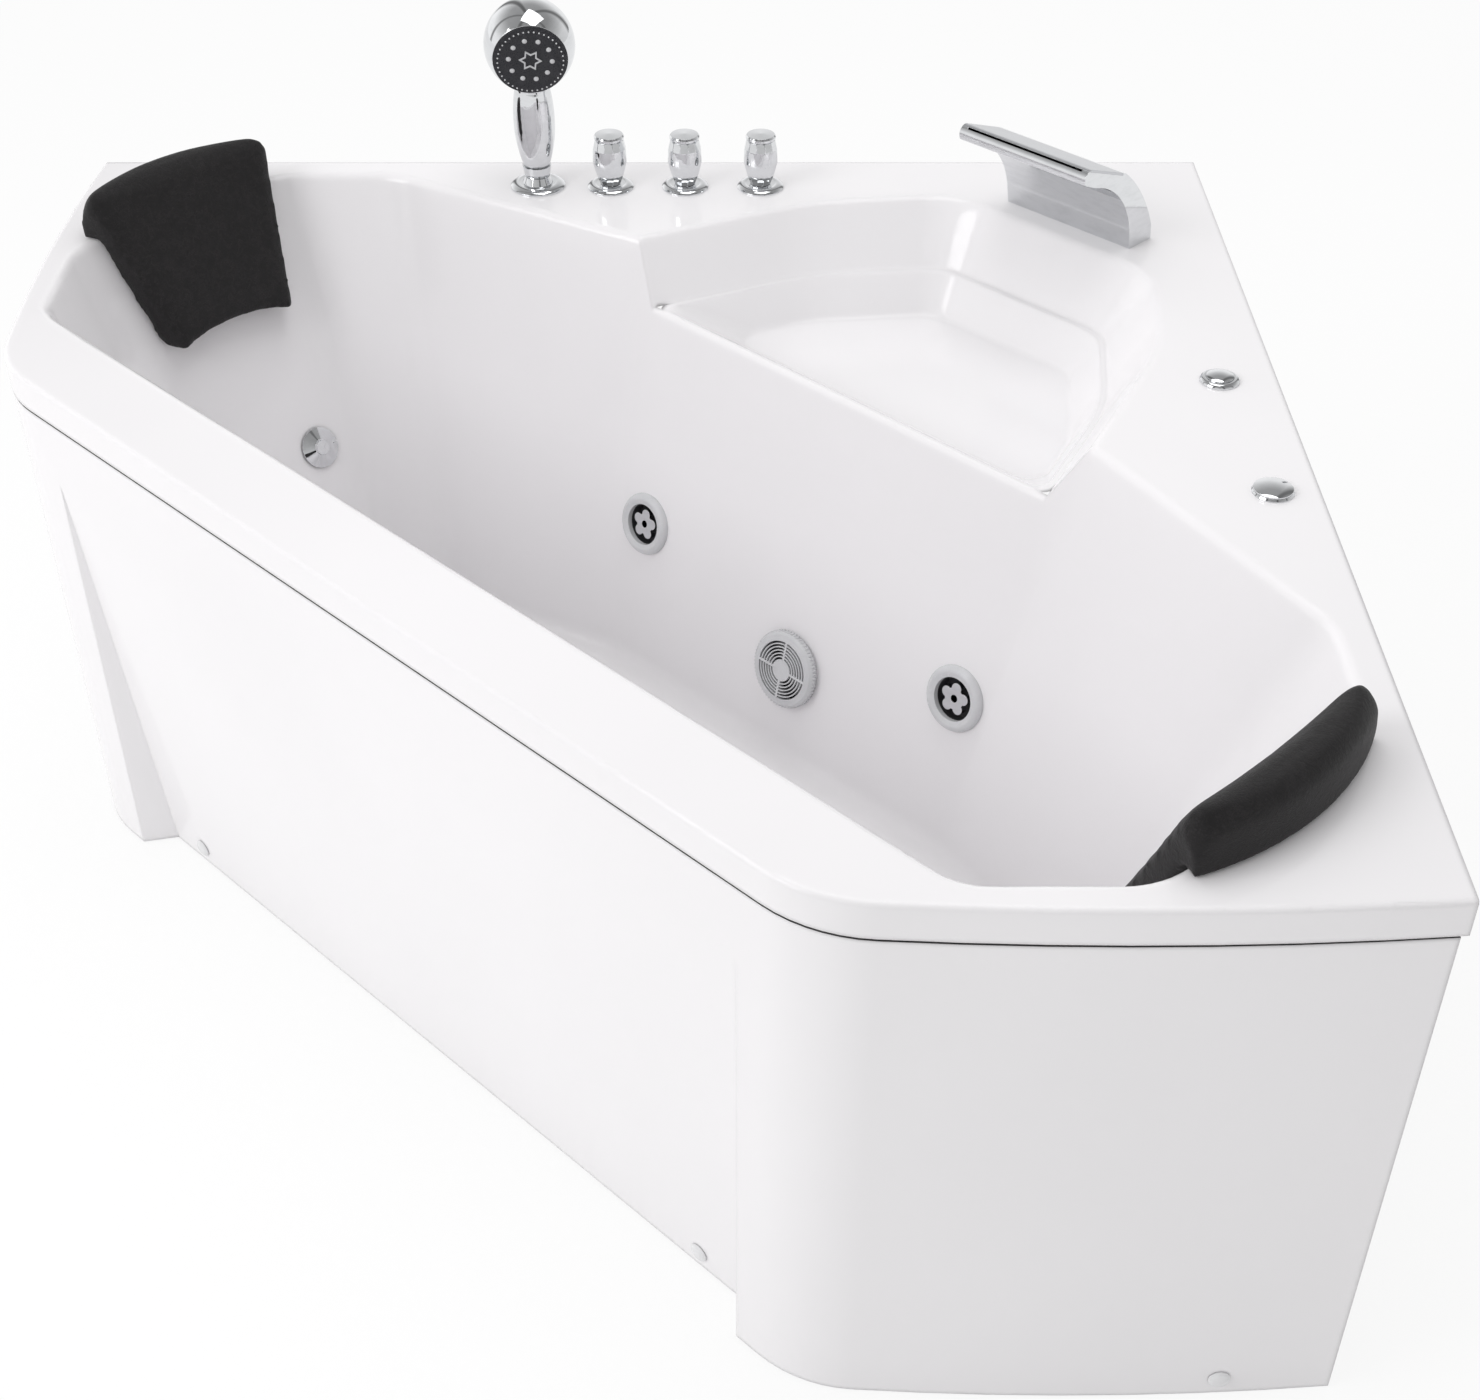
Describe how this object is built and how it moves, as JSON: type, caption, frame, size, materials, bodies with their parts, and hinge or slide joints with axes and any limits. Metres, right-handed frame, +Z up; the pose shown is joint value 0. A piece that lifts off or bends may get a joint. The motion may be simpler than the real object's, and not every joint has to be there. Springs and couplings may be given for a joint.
{
  "type": "corner bathtub",
  "caption": "Triangular corner bathtub on a steel frame with a corner seat, headrest pillows, jets with a pump, a waterfall spout, taps, a hand shower and a pop-up waste.",
  "frame": {"origin": "on the floor, in the middle of the square that bounds the footprint", "axes": "+Z up; +X and +Y point at the two walls that the tub stands against, and the room corner is at +X +Y"},
  "size_m": [1.4007, 1.4007, 0.878],
  "materials": {
    "white_acrylic": "gloss white acrylic",
    "white_cap": "gloss white",
    "chrome": "mirror chrome",
    "brushed": "brushed",
    "dark_face": "gloss dark grey",
    "pale_plastic": "satin pale grey",
    "pillow_skin": "soft matt black",
    "frame_steel": "zinc-grey paint",
    "zinc_steel": "zinc plated",
    "brass_body": "cast brass",
    "board_wood": "raw board",
    "grey_pipe": "matt grey",
    "black_plastic": "matt black",
    "motor_grey": "painted cast aluminium",
    "black_rubber": "rubber"
  },
  "bodies": {
    "tub": {"tub_shell": "white_acrylic", "apron": "white_acrylic", "base_board": "board_wood", "support_frame": "frame_steel", "foot_pads": "black_rubber", "foot_studs": "zinc_steel", "foot_lock_nuts": "zinc_steel", "apron_brackets": "zinc_steel", "apron_screws": "zinc_steel", "apron_screw_caps": "white_cap", "pillow_left": "pillow_skin", "pillow_right": "pillow_skin", "pillow_studs": "grey_pipe", "overflow_pipe": "grey_pipe", "drain_body": "grey_pipe", "water_pipes": "grey_pipe", "wall_nuts": "grey_pipe", "knob_flanges": "chrome", "shower_flange": "chrome", "shower_cradle": "chrome", "spout_body": "chrome", "button_bezel": "chrome", "air_dial_ring": "chrome", "drain_flange": "chrome", "spout_top_plate": "brushed", "button_spring": "zinc_steel", "valve_bodies": "brass_body", "deck_lock_nuts": "brass_body", "shower_guide_tube": "brass_body", "spout_tail": "brass_body", "jet_flanges": "pale_plastic", "suction_cover": "pale_plastic", "button_body": "black_plastic", "air_valve_body": "black_plastic", "jet_bodies": "black_plastic", "suction_body": "black_plastic", "overflow_body": "black_plastic", "air_pipes": "black_plastic", "pump_housing": "black_plastic", "pump_motor": "motor_grey"},
    "knob_left": {"knob_left": "chrome", "knob_cap_left": "chrome", "valve_spindle_left": "brass_body"},
    "knob_middle": {"knob_middle": "chrome", "knob_cap_middle": "chrome", "valve_spindle_middle": "brass_body"},
    "knob_right": {"knob_right": "chrome", "knob_cap_right": "chrome", "valve_spindle_right": "brass_body"},
    "hand_shower": {"shower_handle": "chrome"},
    "spray_face": {"shower_face": "dark_face", "shower_nozzles": "pale_plastic", "shower_star": "pale_plastic"},
    "pump_button": {"button_cap": "chrome"},
    "air_control": {"air_dial": "chrome"},
    "jet_left": {"jet_nozzle_left": "chrome"},
    "jet_right": {"jet_nozzle_right": "chrome"},
    "overflow_turn": {"overflow_cap": "chrome"},
    "waste_plug": {"drain_plug": "chrome"}
  },
  "joints": [
    {"name": "knob_left_turn", "type": "hinge", "parent": "tub", "child": "knob_left", "pos_m": [-0.04, 0.627, 0.645], "axis": [0, 0, 1], "range_deg": [0, 90]},
    {"name": "knob_middle_turn", "type": "hinge", "parent": "tub", "child": "knob_middle", "pos_m": [0.053, 0.627, 0.645], "axis": [0, 0, 1], "range_deg": [0, 90]},
    {"name": "knob_right_turn", "type": "hinge", "parent": "tub", "child": "knob_right", "pos_m": [0.147, 0.627, 0.645], "axis": [0, 0, 1], "range_deg": [0, 90]},
    {"name": "shower_lift", "type": "slide", "parent": "tub", "child": "hand_shower", "axis": [0, 0, 1], "range_m": [0, 0.25]},
    {"name": "spray_turn", "type": "hinge", "parent": "hand_shower", "child": "spray_face", "pos_m": [-0.131, 0.63, 0.823], "axis": [0.0955, -0.9735, -0.2079], "range_deg": [0, 90]},
    {"name": "pump_button_press", "type": "slide", "parent": "tub", "child": "pump_button", "axis": [0, 0, -1], "range_m": [0, 0.003], "stiffness_N_per_m": 300, "springref_m": -0.001, "deforming": ["button_spring"]},
    {"name": "air_control_turn", "type": "hinge", "parent": "tub", "child": "air_control", "pos_m": [0.652, -0.088, 0.645], "axis": [0, 0, 1], "range_deg": [0, 180]},
    {"name": "jet_left_turn", "type": "hinge", "parent": "tub", "child": "jet_left", "pos_m": [0.00359, 0.36422, 0.317], "axis": [-0.6859, -0.6859, 0.243], "range_deg": [0, 90]},
    {"name": "jet_right_turn", "type": "hinge", "parent": "tub", "child": "jet_right", "pos_m": [0.36422, 0.00359, 0.317], "axis": [-0.6859, -0.6859, 0.243], "range_deg": [0, 90]},
    {"name": "overflow_turn", "type": "hinge", "parent": "tub", "child": "overflow_turn", "pos_m": [-0.42592, 0.51219, 0.339], "axis": [0.648, -0.648, 0.4004], "range_deg": [0, 90]},
    {"name": "waste_plug_lift", "type": "slide", "parent": "tub", "child": "waste_plug", "axis": [0, 0, 1], "range_m": [0, 0.01]}
  ],
  "couplings": [
    {"joint": "waste_plug_lift", "follows": "overflow_turn", "m_per_rad": 0.0063656}
  ]
}
